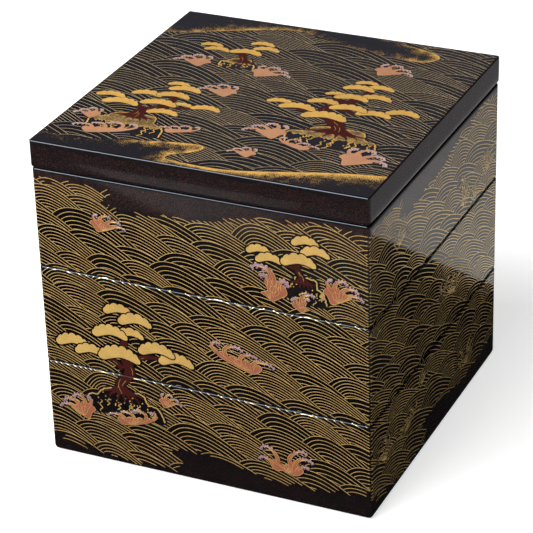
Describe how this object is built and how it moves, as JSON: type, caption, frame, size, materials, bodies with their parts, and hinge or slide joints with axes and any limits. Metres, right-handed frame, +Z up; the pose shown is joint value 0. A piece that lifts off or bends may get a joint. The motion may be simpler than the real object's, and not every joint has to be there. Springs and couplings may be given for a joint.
{
  "type": "tiered lacquer box",
  "caption": "Square stacked lacquer box with lift-off tiers and a flat lid, dressed with gold waves and pines, for storing and serving food.",
  "frame": {"origin": "middle of the underside, on the surface it stands on", "axes": "+Z up through the middle of the stack, -Y out of the front, +X out of the right-hand side"},
  "size_m": [0.1958, 0.1958, 0.1938],
  "materials": {
    "black_lacquer": "polished black-brown lacquer over a wooden core",
    "gold_line": "gold powder line on lacquer, softly burnished",
    "gold_leaf": "gold powder ground, satin",
    "maroon_lacquer": "dark red lacquer, satin",
    "coral_lacquer": "coral powder lacquer, satin",
    "lilac_lacquer": "lilac-pink powder lacquer, satin"
  },
  "bodies": {
    "root": {"lid": "black_lacquer", "top_tier": "black_lacquer", "middle_tier": "black_lacquer", "bottom_tier": "black_lacquer"}
  },
  "joints": []
}
